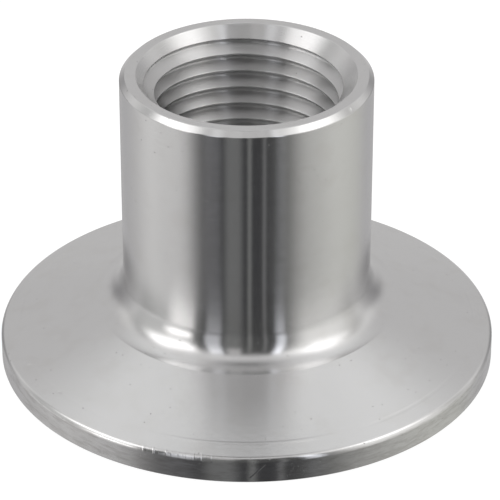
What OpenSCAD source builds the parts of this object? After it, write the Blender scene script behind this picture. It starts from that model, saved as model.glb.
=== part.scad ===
// Clamp ferrule with a female taper pipe thread: one turned piece of stainless steel.
// The flange stands on its gasket face, the barrel points up, and the thread opens at the top.
// Millimetres. The origin is the centre of the gasket face, and +Z is the axis of the part.

/* [Clamp flange] */
// Outer diameter of the flange
flange_d = 50.5; // [49.5:0.1:52]
// Height at which the clamp seat would meet the rim, before its edge is rounded
rim_h = 2.64; // [2.4:0.02:3]
// Radius of the rounded upper edge of the rim
rim_round = 0.6; // [0.2:0.05:0.8]
// Break at the lower edge of the rim, measured along the face and the land
rim_break = 0.1; // [0.05:0.05:0.4]
// Slope of the clamp seat, from the plane of the flange
seat_angle = 20; // [18:0.5:22]
// Diameter of the fine tool line where the clamp seat ends and the back cone starts
seat_line_d = 46.8; // [45:0.1:47.4]
// Depth of the tool line
seat_line_depth = 0.04; // [0.02:0.01:0.08]
// Radius of the tool that left the line
seat_tool_r = 2; // [1:0.5:3]
// Slope of the back cone
back_angle = 19.5; // [18:0.5:22]

/* [Gasket face] */
// Diameter of the centre line of the gasket groove
groove_d = 43.6; // [43:0.1:44]
// Radius of the round bottom of the groove
groove_r = 1.9; // [1.6:0.1:2.2]
// Depth of the groove
groove_depth = 1.5; // [1:0.1:1.7]
// Break at the lower end of the bore
bore_break = 0.4; // [0.2:0.1:0.8]

/* [Barrel] */
// Overall height
overall_h = 31.5; // [29:0.5:40]
// Outer diameter of the barrel
barrel_d = 25.2; // [24.8:0.1:26]
// Outer chamfer at the top of the barrel, measured along the face and the wall
top_chamfer = 0.55; // [0.3:0.05:0.8]
// Radius of the fillet at the root of the barrel
root_r = 3; // [2.9:0.1:3.6]
// Diameter of the crease where the fillet runs out on the back cone
crease_d = 31; // [30:0.1:31.2]

/* [Bore and thread] */
// Diameter of the drilled bore, which runs right through
bore_d = 17.46; // [16.6:0.02:17.6]
// Mouth diameter of the countersink
sink_d = 22; // [21.6:0.1:22.6]
// Full angle of the countersink
sink_angle = 90; // [88:1:92]
// Threads in an inch
thread_tpi = 14; // [14:14]
// Major diameter of the thread in the plane of its mouth
thread_major_d = 21.22; // [21:0.02:21.4]
// Taper of the thread, as the length in which its diameter changes by one
thread_taper = 16; // [16:16]
// Width of the flat at the root of the thread
thread_root_flat = 0.07; // [0.05:0.01:0.14]
// Width of the flat on the crest of the thread
thread_crest_flat = 0.12; // [0.1:0.01:0.14]
// Depth of the last full thread below the mouth
thread_full_depth = 13; // [11:0.5:14]
// Number of turns in which the thread runs out, as a tap leaves it
thread_runout_turns = 2.5; // [2:0.5:3]
// Depth of the first crest below the mouth, on the +Y side
thread_first_crest = 2.56; // [1.9:0.01:3.6]

/* [Hidden] */
// Segments in a turn of the thread
thread_segments = 48;
// How far a cutting shape reaches past the surface that it cuts
past = 0.03;
// Round detail of what is turned
$fn = 180;

flange_r = flange_d / 2;
barrel_r = barrel_d / 2;
bore_r = bore_d / 2;
crease_r = crease_d / 2;
seat_line_r = seat_line_d / 2;

// Height of the clamp seat and of the back cone at a radius
function seat_z(r) = rim_h + (flange_r - r) * tan(seat_angle);
function back_z(r) = seat_z(seat_line_r) + (seat_line_r - r) * tan(back_angle);

// Length that the rounding takes off the land and off the seat, which turn by 90 less the seat's slope
rim_tangent = rim_round * tan((90 - seat_angle) / 2);

// Centre of the root fillet, which is tangent to the barrel and runs out at the crease
root_centre_r = barrel_r + root_r;
root_centre_z = back_z(crease_r) + sqrt(pow(root_r, 2) - pow(root_centre_r - crease_r, 2));

// Thread form: flanks at 30 degrees, flats at root and crest, and a 1 in 16 taper on the diameter
pitch = 25.4 / thread_tpi;
taper = 1 / (2 * thread_taper);
flank = tan(30);
thread_h = (pitch - thread_root_flat - thread_crest_flat) / (2 * flank);
crest_mouth_r = thread_major_d / 2 - thread_h;
thread_end_depth = thread_full_depth + thread_runout_turns * pitch;

// Radii of the thread at a depth below the mouth, the root with its run-out
function major_r(depth) = thread_major_d / 2 - depth * taper;
function crest_r(depth) = crest_mouth_r - depth * taper;
function inside_r(depth) = max(crest_r(depth), bore_r) - past;
function runout(depth) = max(0, (depth - thread_full_depth) / (thread_end_depth - thread_full_depth));
function root_r_at(depth) =
    let (full = major_r(depth))
    full - runout(depth) * (full - inside_r(depth) - past / 2);

// Half width of the groove at a radius
function groove_half(depth, r) = thread_root_flat / 2 + (major_r(depth) - r) * flank;

// One section of the groove, by the number of turns below the one that opens on the +Y side
function groove_section(turn) =
    let (depth = thread_first_crest - pitch / 2 + turn * pitch)
    let (angle = 90 - turn * 360)
    let (outer = root_r_at(depth), inner = inside_r(depth))
    let (outer_half = groove_half(depth, outer), inner_half = groove_half(depth, inner))
    [for (p = [[inner, inner_half], [outer, outer_half], [outer, -outer_half], [inner, -inner_half]])
        [p[0] * cos(angle), p[0] * sin(angle), overall_h - depth + p[1]]];

// Helical groove of the thread, from just above the mouth to the end of the run-out
module thread_groove() {
    first = -(thread_first_crest - pitch / 2) / pitch;
    last = (thread_end_depth - thread_first_crest) / pitch + 0.5;
    steps = ceil((last - first) * thread_segments);
    points = [for (i = [0 : steps]) each groove_section(first + (last - first) * i / steps)];
    sides = [for (i = [0 : steps - 1], k = [0 : 3])
        let (a = 4 * i + k, b = 4 * i + (k + 1) % 4)
        each [[a, b, b + 4], [a, b + 4, a + 4]]];
    ends = [[3, 2, 1, 0], [for (k = [0 : 3]) 4 * steps + k]];
    polyhedron(points, concat(sides, ends));
}

// Half section of the blank with straight edges only
module straight_section() {
    rounded_r = flange_r - rim_tangent * cos(seat_angle);
    polygon([
        [0, 0],
        [flange_r - rim_break, 0],
        [flange_r, rim_break],
        [flange_r, rim_h - rim_tangent],
        [rounded_r, seat_z(rounded_r)],
        [seat_line_r, seat_z(seat_line_r)],
        [crease_r, back_z(crease_r)],
        [crease_r, root_centre_z],
        [barrel_r, root_centre_z],
        [barrel_r, overall_h - top_chamfer],
        [barrel_r - top_chamfer, overall_h],
        [0, overall_h],
    ]);
}

// Half section of the blank, with its rounded rim, root fillet, tool line and gasket groove
module blank_section() {
    tool_lift = seat_tool_r - seat_line_depth;
    difference() {
        union() {
            straight_section();
            translate([flange_r - rim_round, rim_h - rim_tangent]) circle(rim_round);
        }
        translate([root_centre_r, root_centre_z]) circle(root_r);
        translate([seat_line_r, seat_z(seat_line_r)]) rotate(-seat_angle) translate([0, tool_lift])
            circle(seat_tool_r);
        translate([groove_d / 2, groove_depth - groove_r]) circle(groove_r);
    }
}

// Half section of what is bored out: the drilled bore, the reamed taper and the countersink
module bore_section() {
    sink_tan = tan(sink_angle / 2);
    sink_end = (sink_d / 2 - crest_mouth_r) / (sink_tan - taper);
    ream_end = (crest_mouth_r - bore_r) / taper;
    polygon([
        [0, -1],
        [bore_r + bore_break, -1],
        [bore_r + bore_break, 0],
        [bore_r, bore_break],
        [bore_r, overall_h - ream_end],
        [crest_r(sink_end), overall_h - sink_end],
        [sink_d / 2, overall_h],
        [sink_d / 2, overall_h + 1],
        [0, overall_h + 1],
    ]);
}

module adapter_body() {
    color([0.72, 0.72, 0.71])
    difference() {
        rotate_extrude() blank_section();
        rotate_extrude() bore_section();
        thread_groove();
    }
}

adapter_body();
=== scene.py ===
import math

import bpy
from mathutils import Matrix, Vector


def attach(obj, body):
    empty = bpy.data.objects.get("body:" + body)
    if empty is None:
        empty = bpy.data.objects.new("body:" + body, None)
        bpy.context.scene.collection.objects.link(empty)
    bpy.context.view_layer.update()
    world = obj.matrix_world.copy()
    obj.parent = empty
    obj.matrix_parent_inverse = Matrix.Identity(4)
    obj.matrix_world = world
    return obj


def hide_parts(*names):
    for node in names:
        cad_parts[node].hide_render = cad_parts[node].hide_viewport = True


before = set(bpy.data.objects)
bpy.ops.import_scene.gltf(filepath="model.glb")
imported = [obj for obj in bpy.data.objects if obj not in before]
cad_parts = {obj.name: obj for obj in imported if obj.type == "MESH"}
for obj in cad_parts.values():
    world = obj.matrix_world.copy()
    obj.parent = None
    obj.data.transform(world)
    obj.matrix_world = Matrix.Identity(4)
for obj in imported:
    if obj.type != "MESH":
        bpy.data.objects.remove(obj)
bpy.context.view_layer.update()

MM = 0.001

# Sizes of the part in millimetres, the same as in its source
FLANGE_R = 25.25
RIM_H = 2.64
RIM_ROUND = 0.6
RIM_BREAK = 0.1
SEAT_SLOPE = math.radians(20)
SEAT_LINE_R = 23.4
# The solid has 0.04 mm here, which would show too strongly in polished steel
SEAT_LINE_DEPTH = 0.012
SEAT_TOOL_R = 2
BACK_SLOPE = math.radians(19.5)
GASKET_GROOVE_AT = 21.8
GASKET_GROOVE_R = 1.9
GASKET_GROOVE_DEPTH = 1.5
BORE_BREAK = 0.4
OVERALL_H = 31.5
BARREL_R = 12.6
TOP_CHAMFER = 0.55
ROOT_R = 3
CREASE_R = 15.5
BORE_R = 8.73
SINK_R = 11

# Thread: 14 turns an inch, right hand, on a taper of 1 in 16
PITCH = 25.4 / 14
TAPER = 1 / 32
FLANK = math.tan(math.radians(30))
MAJOR_R = 10.61
ROOT_FLAT = 0.07
CREST_FLAT = 0.12
FULL_DEPTH = 13
RUNOUT_DEPTH = FULL_DEPTH + 2.5 * PITCH
# Depth of the first crest at the back of the bore
FIRST_CREST = 2.56
CREST_R = MAJOR_R - (PITCH - ROOT_FLAT - CREST_FLAT) / (2 * FLANK)
# How far the run-out of the thread reaches past the wall where it ends
RUNOUT_PAST = 0.015
# The bottom of the groove is rounded, by no more than a share of the groove's width
THREAD_ROOT_ROUND = 0.28
THREAD_ROOT_SHARE = 0.35

# How finely the piece is cut: columns round it, and steps along each arc of its section
COLUMNS = 288
GASKET_GROOVE_STEPS = 24
RIM_STEPS = 10
TOOL_STEPS = 8
ROOT_STEPS = 28
THREAD_ROOT_STEPS = 4
# Where along a flank of the thread, from either side, its own row of points lies
FLANK_ROW = 0.3

# Small rounds on sharp edges, and how far from them a point holds the flats true
EDGE = 0.05
FINE_EDGE = EDGE / 2
THREAD_EDGE = 0.04
SUPPORT = 0.02
SINK_SUPPORT = 0.12
# How far below the thread's run-out the lathed wall ends
BELOW_RUNOUT = 1

# Colours of the steel: clean, faintly stained, dulled by handling and in a pit
STEEL = (0.705, 0.705, 0.705, 1)
STAINED = (0.665, 0.66, 0.65, 1)
DULLED = (0.48, 0.47, 0.46, 1)
PITTED = (0.25, 0.24, 0.23, 1)

# Its roughness, and how much rougher the thread and the countersink are cut
ROUGHNESS = 0.16
THREAD_ROUGHER = 0.15
SINK_ROUGHER = 0.1

# Heights and depths of its marks in millimetres
RING_H = 0.0009
HAIR_H = 0.003
GRAIN_H = 0.0005
BURR_H = 0.008
PIT_DEPTH = 0.012
SPECK_DEPTH = 0.006
SCRATCH_DEPTH = 0.004
KNOCK_DEPTH = 0.02


def seat_z(r):
    """Height of the clamp seat at a radius."""
    return RIM_H + (FLANGE_R - r) * math.tan(SEAT_SLOPE)


def back_z(r):
    """Height of the back cone at a radius, inside the tool line."""
    return seat_z(SEAT_LINE_R) + (SEAT_LINE_R - r) * math.tan(BACK_SLOPE)


def arc(centre, radius, first, last, steps):
    """Points of an arc in the half section, from one angle to another in radians, ends included."""
    angles = [first + (last - first) * i / steps for i in range(steps + 1)]
    return [Vector((centre[0] + radius * math.cos(a), centre[1] + radius * math.sin(a))) for a in angles]


def eased(before, corner, after, width, support):
    """A corner of the half section as a small round, with a point on each side to hold the flats."""
    back = (before - corner).normalized()
    on = (after - corner).normalized()
    turn = math.pi - back.angle(on)
    first, last = corner + back * width, corner + on * width
    bulge = math.tan(turn / 4) / math.sin(turn / 2)
    middle = corner + ((first + last) / 2 - corner) * bulge
    return [corner + back * (width + support), first, middle, last, corner + on * (width + support)]


def held(end, towards):
    """A point just past the end of an arc, on the straight that leaves it, to hold that straight true."""
    return end + (towards - end).normalized() * SUPPORT


def outline():
    """The half section from the plain bore, under the flange and over the outside, to the countersink."""
    groove_half = math.sqrt(GASKET_GROOVE_R ** 2 - (GASKET_GROOVE_R - GASKET_GROOVE_DEPTH) ** 2)
    groove_turn = math.asin(groove_half / GASKET_GROOVE_R)
    gasket_groove = arc(
        (GASKET_GROOVE_AT, GASKET_GROOVE_DEPTH - GASKET_GROOVE_R), GASKET_GROOVE_R,
        math.pi / 2 + groove_turn, math.pi / 2 - groove_turn, GASKET_GROOVE_STEPS)

    rim_tangent = RIM_ROUND * math.tan((math.pi / 2 - SEAT_SLOPE) / 2)
    rim_round = arc(
        (FLANGE_R - RIM_ROUND, RIM_H - rim_tangent), RIM_ROUND, 0, math.pi / 2 - SEAT_SLOPE, RIM_STEPS)

    tool_lift = SEAT_TOOL_R - SEAT_LINE_DEPTH
    tool_half = math.acos(tool_lift / SEAT_TOOL_R)
    tool_centre = (
        SEAT_LINE_R + tool_lift * math.sin(SEAT_SLOPE),
        seat_z(SEAT_LINE_R) + tool_lift * math.cos(SEAT_SLOPE))
    tool_middle = -math.pi / 2 - SEAT_SLOPE
    tool_line = arc(
        tool_centre, SEAT_TOOL_R, tool_middle + tool_half, tool_middle - tool_half, TOOL_STEPS)

    root_centre_r = BARREL_R + ROOT_R
    root_lift = math.sqrt(ROOT_R ** 2 - (root_centre_r - CREASE_R) ** 2)
    root_centre = (root_centre_r, back_z(CREASE_R) + root_lift)
    root_first = math.atan2(-root_lift, CREASE_R - root_centre_r)
    root = arc(root_centre, ROOT_R, root_first, -math.pi, ROOT_STEPS)

    bore_top = Vector((BORE_R, OVERALL_H - RUNOUT_DEPTH - BELOW_RUNOUT))
    bore_edge = Vector((BORE_R, BORE_BREAK))
    face_inner = Vector((BORE_R + BORE_BREAK, 0))
    face_outer = Vector((FLANGE_R - RIM_BREAK, 0))
    land_low = Vector((FLANGE_R, RIM_BREAK))
    barrel_top = Vector((BARREL_R, OVERALL_H - TOP_CHAMFER))
    end_outer = Vector((BARREL_R - TOP_CHAMFER, OVERALL_H))
    mouth = Vector((SINK_R, OVERALL_H))
    sink_ring = mouth - Vector((1, 1)) * SINK_SUPPORT

    return [
        bore_top,
        *eased(bore_top, bore_edge, face_inner, EDGE, SUPPORT),
        *eased(bore_edge, face_inner, face_outer, EDGE, SUPPORT),
        *eased(face_inner, gasket_groove[0], gasket_groove[1], EDGE, SUPPORT),
        *gasket_groove[2:-2],
        *eased(gasket_groove[-2], gasket_groove[-1], face_outer, EDGE, SUPPORT),
        *eased(face_inner, face_outer, land_low, FINE_EDGE, SUPPORT),
        *eased(face_outer, land_low, rim_round[0], FINE_EDGE, SUPPORT),
        held(rim_round[0], land_low),
        *rim_round,
        held(rim_round[-1], tool_line[0]),
        *eased(rim_round[-1], tool_line[0], tool_line[1], FINE_EDGE, SUPPORT),
        *tool_line[2:-2],
        *eased(tool_line[-2], tool_line[-1], root[0], FINE_EDGE, SUPPORT),
        *eased(tool_line[-1], root[0], root[1], EDGE, SUPPORT),
        *root[1:],
        held(root[-1], barrel_top),
        *eased(root[-1], barrel_top, end_outer, EDGE, SUPPORT),
        *eased(barrel_top, end_outer, mouth, EDGE, SUPPORT),
        *eased(end_outer, mouth, sink_ring, EDGE, SUPPORT),
        sink_ring,
    ]


def wall_r(depth):
    """Radius of the bored wall before the thread is cut: countersink, reamed taper or drilled bore."""
    return max(SINK_R - depth, CREST_R - depth * TAPER, BORE_R)


def root_r(depth):
    """Radius at the bottom of the thread groove, with its run-out."""
    full = MAJOR_R - depth * TAPER
    gone = max(0, (depth - FULL_DEPTH) / (RUNOUT_DEPTH - FULL_DEPTH))
    return full - gone * (full - wall_r(depth) + RUNOUT_PAST)


def groove_mouth(depth, side):
    """Where a flank of the groove leaves the wall, as radius and depth. Side is -1 above and 1 below."""
    full = MAJOR_R - depth * TAPER

    def on_flank(r):
        return Vector((r, depth + side * (ROOT_FLAT / 2 + (full - r) * FLANK)))

    # The place lies between these two radii. Halving the gap 40 times leaves next to nothing of it.
    inside, outside = BORE_R - 0.5, root_r(depth)
    for _ in range(40):
        r = (inside + outside) / 2
        if r < wall_r(on_flank(r).y):
            inside = r
        else:
            outside = r
    return on_flank(outside)


def thread_rows(depth):
    """Section of the groove at a depth, from the wall above it to the wall below it."""
    upper, lower = groove_mouth(depth, -1), groove_mouth(depth, 1)
    width = lower.y - upper.y
    # Where the groove is narrow, its small rounds shrink with it
    size = min(1, width)
    edge, support = THREAD_EDGE * size, SUPPORT / 2 * size
    # The bottom is an arc that runs into both flanks, as a worn thread chaser leaves it
    tilt = math.atan(FLANK)
    flanks_meet = MAJOR_R - depth * TAPER + ROOT_FLAT / 2 / FLANK
    round_r = min(THREAD_ROOT_ROUND, THREAD_ROOT_SHARE * width)
    bottom = min(root_r(depth), flanks_meet - round_r / math.sin(tilt) + round_r)
    root = arc(
        (bottom - round_r, depth), round_r, tilt - math.pi / 2, math.pi / 2 - tilt, THREAD_ROOT_STEPS)

    def wall(at):
        return Vector((wall_r(at), at))

    # Points just off the groove give each corner the wall's direction
    near = 1e-3
    above = eased(wall(upper.y - near), upper, root[0], edge, support)
    below = eased(root[-1], lower, wall(lower.y + near), edge, support)
    # The points on the wall's side go back onto the wall, which may bend there
    above[0], above[1] = wall(upper.y - edge - support), wall(upper.y - edge)
    below[3], below[4] = wall(lower.y + edge), wall(lower.y + edge + support)
    return [
        *above,
        above[4].lerp(root[0], FLANK_ROW),
        *root,
        root[-1].lerp(below[0], 1 - FLANK_ROW),
        *below,
    ]


def adapter_mesh():
    """The whole turned piece: a lathed outside and a thread that winds down inside it, joined in one skin."""
    first_depth = (SINK_R - MAJOR_R) / (1 - TAPER)
    turns_down = (RUNOUT_DEPTH - first_depth) / PITCH
    steps = int(turns_down * COLUMNS)
    # The groove starts at the angle that brings the first crest to its depth at the back
    first_turn = (first_depth - FIRST_CREST + PITCH / 2) / PITCH
    start_angle = math.pi / 2 - first_turn * 2 * math.pi
    angles = [start_angle - 2 * math.pi * i / COLUMNS for i in range(COLUMNS)]

    points, faces = [], []

    def add_point(r, z, column):
        a = angles[column % COLUMNS]
        points.append((r * math.cos(a) * MM, r * math.sin(a) * MM, z * MM))
        return len(points) - 1

    def add_face(*corners):
        ring = [c for i, c in enumerate(corners) if c != corners[i - 1]]
        if len(ring) > 2:
            faces.append(ring)

    rings = [[add_point(p.x, p.y, j) for j in range(COLUMNS)] for p in outline()]
    for low, high in zip(rings, rings[1:]):
        for j in range(COLUMNS):
            k = (j + 1) % COLUMNS
            add_face(low[j], high[j], high[k], low[k])
    bottom, top = rings[0], rings[-1]

    groove = []
    rows = len(thread_rows(FULL_DEPTH))
    for i in range(steps + 1):
        depth = first_depth + i * PITCH / COLUMNS
        # At the first and last step the groove has no width and is one point
        if i in (0, steps):
            groove.append([add_point(wall_r(depth), OVERALL_H - depth, i)] * rows)
        else:
            groove.append([add_point(p.x, OVERALL_H - p.y, i) for p in thread_rows(depth)])
    for i in range(steps):
        here, on = groove[i], groove[i + 1]
        for k in range(len(here) - 1):
            add_face(here[k], here[k + 1], on[k + 1], on[k])

    # Wall between one turn of the groove and the next
    for i in range(steps - COLUMNS):
        add_face(groove[i][-1], groove[i + COLUMNS][0], groove[i + COLUMNS + 1][0], groove[i + 1][-1])
    # Wall from the mouth down to the first turn, closed at the place where the groove starts
    for i in range(COLUMNS - 1):
        add_face(top[i], groove[i][0], groove[i + 1][0], top[i + 1])
    add_face(top[-1], groove[COLUMNS - 1][0], groove[COLUMNS][0], groove[0][0], top[0])
    # Wall from the last turn down to the plain bore, closed at the place where the groove ends
    for i in range(steps - COLUMNS + 1, steps):
        add_face(
            groove[i][-1], bottom[i % COLUMNS], bottom[(i + 1) % COLUMNS], groove[i + 1][-1])
    last = steps - COLUMNS
    add_face(
        groove[last][-1], groove[steps][0], bottom[last % COLUMNS],
        bottom[(last + 1) % COLUMNS], groove[last + 1][-1])

    mesh = bpy.data.meshes.new("adapter_body_finish")
    mesh.from_pydata(points, [], faces)
    mesh.validate()
    mesh.shade_smooth()
    return mesh


class Value:
    """One output of a node. Arithmetic on it adds Math nodes."""

    def __init__(self, graph, socket):
        self.graph = graph
        self.socket = socket

    def maths(self, operation, *others, clamp=False):
        """A Math node on this value and any others."""
        return self.graph.add(
            "ShaderNodeMath", {"operation": operation, "use_clamp": clamp},
            {0: self, **dict(enumerate(others, 1))})

    def __add__(self, other):
        return self.maths("ADD", other)

    def __sub__(self, other):
        return self.maths("SUBTRACT", other)

    def __mul__(self, other):
        return self.maths("MULTIPLY", other)

    def __truediv__(self, other):
        return self.maths("DIVIDE", other)

    def __rsub__(self, other):
        return (self * -1) + other

    __radd__ = __add__
    __rmul__ = __mul__

    def sqrt(self):
        return self.maths("SQRT")

    def absolute(self):
        return self.maths("ABSOLUTE")

    def rise(self, low, high):
        """0 below low and 1 above high, smooth between them. With low above high it falls instead."""
        return self.graph.add(
            "ShaderNodeMapRange", {"interpolation_type": "SMOOTHSTEP"},
            {"Value": self, "From Min": low, "From Max": high})


class Graph:
    """The nodes of a material or of the world."""

    def __init__(self, tree):
        self.tree = tree
        tree.nodes.clear()

    def add(self, kind, settings=None, sockets=None, out=0):
        """Adds one node, sets it, feeds its sockets and returns one of its outputs."""
        node = self.tree.nodes.new(kind)
        for name, setting in (settings or {}).items():
            setattr(node, name, setting)
        for name, given in (sockets or {}).items():
            if isinstance(given, Value):
                self.tree.links.new(given.socket, node.inputs[name])
            else:
                node.inputs[name].default_value = given
        return Value(self, node.outputs[out]) if node.outputs else None

    def split(self, vector):
        """The three numbers of a vector."""
        x = self.add("ShaderNodeSeparateXYZ", sockets={0: vector})
        return [Value(self, s) for s in x.socket.node.outputs]

    def join(self, x, y, z):
        """The vector of three numbers."""
        return self.add("ShaderNodeCombineXYZ", sockets={0: x, 1: y, 2: z})

    def mix_colour(self, factor, first, second):
        """The first colour at 0 and the second at 1. Sockets 6 and 7 and output 2 are those for colours."""
        return self.add(
            "ShaderNodeMix", {"data_type": "RGBA"}, {"Factor": factor, 6: first, 7: second}, out=2)

    def add_light(self, light, colour, amount):
        """The light with some amount of a colour added."""
        share = self.add("ShaderNodeVectorMath", {"operation": "SCALE"}, {0: colour[:3], "Scale": amount})
        return self.add("ShaderNodeVectorMath", {"operation": "ADD"}, {0: light, 1: share})


def turned_steel():
    """Bare stainless steel as it comes off the lathe: it mirrors round the part and blurs along it."""
    material = bpy.data.materials.new("turned_steel")
    material.use_nodes = True
    g = Graph(material.node_tree)
    # The place on the part in millimetres
    x, y, z = [v * 1000 for v in g.split(g.add("ShaderNodeTexCoord", out="Object"))]
    spot = g.join(x, y, z)
    r = (x * x + y * y).sqrt()
    round_x, round_y = x / r, y / r
    # Distance round the part from its front
    around = x.maths("ARCTAN2", y * -1) * r

    # Each mask is 1 on its own surface. On the countersink, height and radius rise together.
    sink_line = OVERALL_H - SINK_R
    on_barrel = r.rise(BARREL_R - 0.1, BARREL_R - 0.05) * r.rise(BARREL_R + 0.1, BARREL_R + 0.05)
    on_cone = r.rise(CREASE_R, CREASE_R + 0.1) * z.rise(1, 1.5)
    on_land = r.rise(FLANGE_R - 0.05, FLANGE_R - 0.03)
    on_end_face = z.rise(OVERALL_H - 0.5, OVERALL_H - 0.3)
    on_sink = r.rise(SINK_R, SINK_R - 0.1) * (z - r).rise(sink_line - 0.15, sink_line - 0.05)
    in_thread = (
        r.rise(MAJOR_R + 0.19, MAJOR_R + 0.04)
        * (z - r).rise(sink_line - 0.05, sink_line - 0.15)
        * z.rise(12, 13))

    def noise(vector, scale, detail):
        """Smooth noise in blotches of about one over the scale."""
        return g.add(
            "ShaderNodeTexNoise", {},
            {"Vector": vector, "Scale": scale, "Detail": detail, "Roughness": 0.6})

    def dots(scale, radius):
        """Small round marks at random places."""
        distance = g.add("ShaderNodeTexVoronoi", {}, {"Vector": spot, "Scale": scale})
        return distance.rise(radius * scale, radius * scale * 0.4)

    def scratch(u, v, start, end, half):
        """1 along a straight line between two places, falling to 0 half a width away."""
        du, dv = end[0] - start[0], end[1] - start[1]
        square = du * du + dv * dv
        from_u, from_v = u - start[0], v - start[1]
        along = (from_u * (du / square)).maths("ADD", from_v * (dv / square), clamp=True)
        off_u, off_v = from_u - along * du, from_v - along * dv
        return (off_u * off_u + off_v * off_v).sqrt().rise(half, 0)

    # Rings left by the tool, which change slowly along each turn
    rings = g.add(
        "ShaderNodeTexNoise", {"noise_dimensions": "4D"},
        {"Vector": g.join(r * 5, z * 5, round_x * 1.2), "W": round_y * 1.2,
         "Scale": 1, "Detail": 3, "Roughness": 0.6})
    # Hair-thin lines round the part, a few millimetres long
    hairs = noise(g.join(x, y, (z + r) * 5), 1, 2)
    # Fine grain of the metal
    grain = noise(spot, 7, 2)
    pits = dots(0.8, 0.09)
    specks = dots(1.7, 0.06)

    # Scratches and knocks from handling, from one place to another, with half their width. A place is its
    # distance round and its height on the barrel and the land, and its x and y elsewhere.
    scratches = (
        scratch(around, z, (-5.18, 11.93), (-4.23, 11.45), 0.07) * on_barrel
        + scratch(x, y, (2.28, -17.79), (3.83, -20.03), 0.06) * on_cone * 0.5
        + scratch(around, z, (0.31, 0.56), (1.77, 2.03), 0.08) * on_land
        + scratch(around, z, (4.19, 0.78), (4.6, 1.56), 0.08) * on_land)
    knocks = (
        scratch(x, y, (-21.85, -9.12), (-21.7, -9.24), 0.22) * on_cone
        + scratch(x, y, (-18.6, -14.2), (-18.4, -14.4), 0.18) * on_cone
        + scratch(x, y, (1.0, -15.64), (1.2, -15.62), 0.12) * on_cone
        + scratch(x, y, (9.98, -7.16), (10.14, -7.3), 0.2) * on_end_face)

    # Burr along the rim's upper edge, from 12 to 1 mm left of the front
    rim_edge = r.rise(24.7, 24.9) * z.rise(2.1, 2.3)
    burr_stretch = around.rise(-12, -9) * around.rise(-1, -4)
    burr = noise(g.join(around, 0, 0), 2.2, 1).rise(0.5, 0.7) * rim_edge * burr_stretch

    height = (
        rings * RING_H + hairs * HAIR_H + grain * GRAIN_H + burr * BURR_H
        - pits * PIT_DEPTH - specks * SPECK_DEPTH - scratches * SCRATCH_DEPTH - knocks * KNOCK_DEPTH)
    normal = g.add("ShaderNodeBump", {}, {"Strength": 1, "Distance": MM, "Height": height})

    # It varies a little with the rings and the hair-thin lines
    roughness = (
        ROUGHNESS + in_thread * THREAD_ROUGHER + on_sink * SINK_ROUGHER
        + (rings - 0.5) * 0.04 + (hairs - 0.5) * 0.06)

    # Faint stains, a rim land dulled by handling and dark pits
    stains = noise(spot, 0.35, 3).rise(0.45, 0.75) * 0.5
    dull = noise(g.join(x * 0.5, y * 0.5, z * 2), 1, 4).rise(0.4, 0.7) * on_land
    colour = g.mix_colour(stains, STEEL, STAINED)
    colour = g.mix_colour(dull * 0.5, colour, DULLED)
    colour = g.mix_colour(pits * 0.6, colour, PITTED)

    shader = g.add("ShaderNodeBsdfPrincipled", {}, {
        "Base Color": colour,
        "Metallic": 1,
        "Roughness": roughness,
        "Anisotropic": 1.0,
        "Anisotropic Rotation": 0.25,
        "Normal": normal,
    })
    g.add("ShaderNodeOutputMaterial", {}, {"Surface": shader})
    return material


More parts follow.
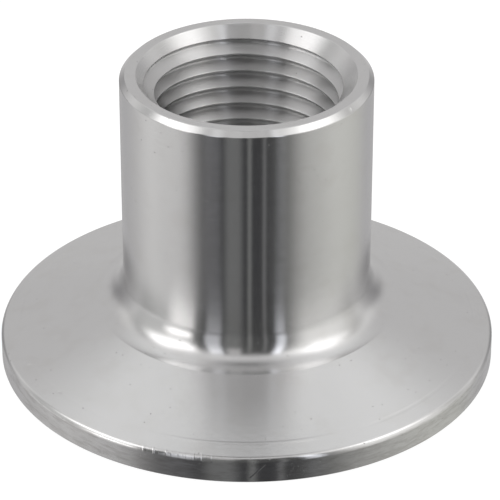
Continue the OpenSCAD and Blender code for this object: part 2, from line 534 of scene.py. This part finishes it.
def studio_light():
    """Soft light by direction. All angles are in degrees, and the camera is on the side of bearing 0."""
    world = bpy.data.worlds.new("studio")
    bpy.context.scene.world = world
    world.use_nodes = True
    g = Graph(world.node_tree)
    x, y, z = g.split(g.add("ShaderNodeTexCoord", out="Generated"))
    degrees = 180 / math.pi
    right = x.maths("ARCTAN2", y * -1) * degrees
    left = right * -1
    side = right.absolute()
    height = z.maths("ARCSINE") * degrees

    def span(angle, first, last, first_blur, last_blur):
        """1 between two angles, each blurred by some degrees to both sides."""
        return (
            angle.rise(first - first_blur, first + first_blur)
            * angle.rise(last + last_blur, last - last_blur))

    def grey(level, red=1.0, blue=1.0):
        """A grey of some brightness, with its red and its blue taken up or down a little."""
        return (level * red, level, level * blue, 1)

    # The room is dark on the camera's side and lighter behind, with dim corners low down
    room = g.mix_colour(side.rise(103.4, 125), grey(0.082), grey(0.61, 1.015))
    corners = span(side, 108, 153.7, 12, 12) * height.rise(19.1, -0.9)
    room = g.mix_colour(corners, room, grey(0.3, 1.018, 1.014))

    # The floor is dark in front and paler to the left, to the right and behind
    floor = g.mix_colour(left.rise(9, 110), grey(0.051, 1.0, 1.06), grey(0.381, 1.022))
    floor = g.mix_colour(right.rise(9, 110), floor, grey(0.536, 1.0, 0.944))
    floor = g.mix_colour(side.rise(112.7, 142.7), floor, grey(0.5, 1.014, 1.011))
    light = g.mix_colour(height.rise(-13.9, -21.9), room, floor)

    # The ceiling is bright, with a dim patch overhead, and reaches lower on the sides than in front
    ceiling = g.mix_colour(side.rise(100, 150), grey(0.77, 1.012), grey(0.878))
    ceiling = g.mix_colour(height.rise(68, 89), ceiling, grey(0.185, 1.01))
    at_front = side.rise(37.3, 21.3)
    up = height.rise(34.8, 58.8) * (1 - at_front) + height.rise(49.5, 57.6) * at_front
    light = g.mix_colour(up, light, ceiling)

    # The strips grow brighter upwards, and the faint lines fade out there
    higher = 1 + height.rise(10, 50)
    lower = height.rise(45, 35)
    soft_lights = (
        # A wide light on the left, with a much brighter part high up and a bright part at the horizon
        (grey(0.546, 1.006, 0.986), span(left, 49.4, 117.2, 15, 27.6) * span(height, -32.9, 45.8, 8, 15.3)),
        (grey(2.906, 1.016), span(left, 49.6, 98, 6, 10) * span(height, 35.1, 45.8, 20, 15.3)),
        (grey(1.799, 1.027, 0.991), span(left, 47.8, 71.4, 4, 8) * span(height, -6.8, 9.5, 8, 12)),
        # A wide light on the right, brighter high up
        (grey(0.885, 1.013, 0.977),
         span(right, 41.8, 110.1, 15, 35) * span(height, -21.8, 57.4, 16.7, 9.9)),
        (grey(0.585, 1.015, 1.011), span(right, 61, 102.2, 6, 10) * span(height, 30.3, 57.4, 8, 9.9)),
        # A strip on each side of the dark middle
        (grey(0.497, 0.992, 1.051), span(left, 22.5, 36, 3, 3) * span(height, -17.6, 51.5, 8, 5) * higher),
        (grey(0.73, 0.984, 1.066),
         span(right, 25.7, 33.7, 3, 3) * span(height, -16.9, 51.5, 8, 5) * higher),
        # Faint lines in the dark middle
        (grey(0.119, 0.988, 0.976), span(left, 4.5, 19.2, 4, 4) * lower),
        (grey(0.17, 0.987, 0.964), span(right, 1.2, 4.1, 2, 2) * lower),
        (grey(0.175), span(right, 15, 17, 2, 2) * lower),
        # A small light high up, a little left of the middle
        (grey(0.457, 1.023), span(left, 5.3, 18.4, 3, 3) * span(height, 33.1, 50.5, 5, 5)),
    )
    for colour, amount in soft_lights:
        light = g.add_light(light, colour, amount)
    shader = g.add("ShaderNodeBackground", {}, {"Color": light, "Strength": 1})
    g.add("ShaderNodeOutputWorld", {}, {"Surface": shader})


def plain_stage():
    """A pale floor, lit so that the part throws hardly any shadow. Reflections look through it."""
    pale = bpy.data.materials.new("pale_floor")
    pale.use_nodes = True
    g = Graph(pale.node_tree)
    shader = g.add("ShaderNodeBsdfPrincipled", {}, {
        "Base Color": (0.3, 0.3, 0.3, 1),
        "Roughness": 1,
        "Specular IOR Level": 0,
        "Emission Color": (1, 1, 1, 1),
        "Emission Strength": 0.85,
    })
    g.add("ShaderNodeOutputMaterial", {}, {"Surface": shader})
    mesh = bpy.data.meshes.new("floor")
    # How far it reaches each way, in metres
    reach = 3
    corners = [(-reach, -reach, 0), (reach, -reach, 0), (reach, reach, 0), (-reach, reach, 0)]
    mesh.from_pydata(corners, [], [(0, 1, 2, 3)])
    floor = bpy.data.objects.new("floor", mesh)
    floor.data.materials.append(pale)
    floor.visible_glossy = False
    bpy.context.scene.collection.objects.link(floor)


def camera():
    """The photograph's viewpoint: 30 degrees above the floor, with a long lens."""
    elevation = math.radians(30.4567)
    # Distance and target in millimetres, and the focal length in widths of the frame
    distance = 319.2848
    target = Vector((0, 0, 11.248))
    focal = 6.274945
    # Width of the frame in pixels, and where across it the part's axis is
    frame_width = 500
    axis_at = 246.6707
    data = bpy.data.cameras.new("camera")
    data.sensor_fit = "HORIZONTAL"
    data.sensor_width = 36
    data.lens = data.sensor_width * focal
    data.shift_x = (frame_width / 2 - axis_at) / frame_width
    view = bpy.data.objects.new("camera", data)
    back = Vector((0, -math.cos(elevation), math.sin(elevation)))
    view.location = (target + back * distance) * MM
    view.rotation_euler = (math.pi / 2 - elevation, 0, 0)
    bpy.context.scene.collection.objects.link(view)
    bpy.context.scene.camera = view


adapter = bpy.data.objects.new("adapter_body_finish", adapter_mesh())
bpy.context.scene.collection.objects.link(adapter)
adapter.data.materials.append(turned_steel())
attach(adapter, "root")
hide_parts("adapter_body")

studio_light()
plain_stage()
camera()
bpy.context.scene.view_settings.view_transform = "Standard"
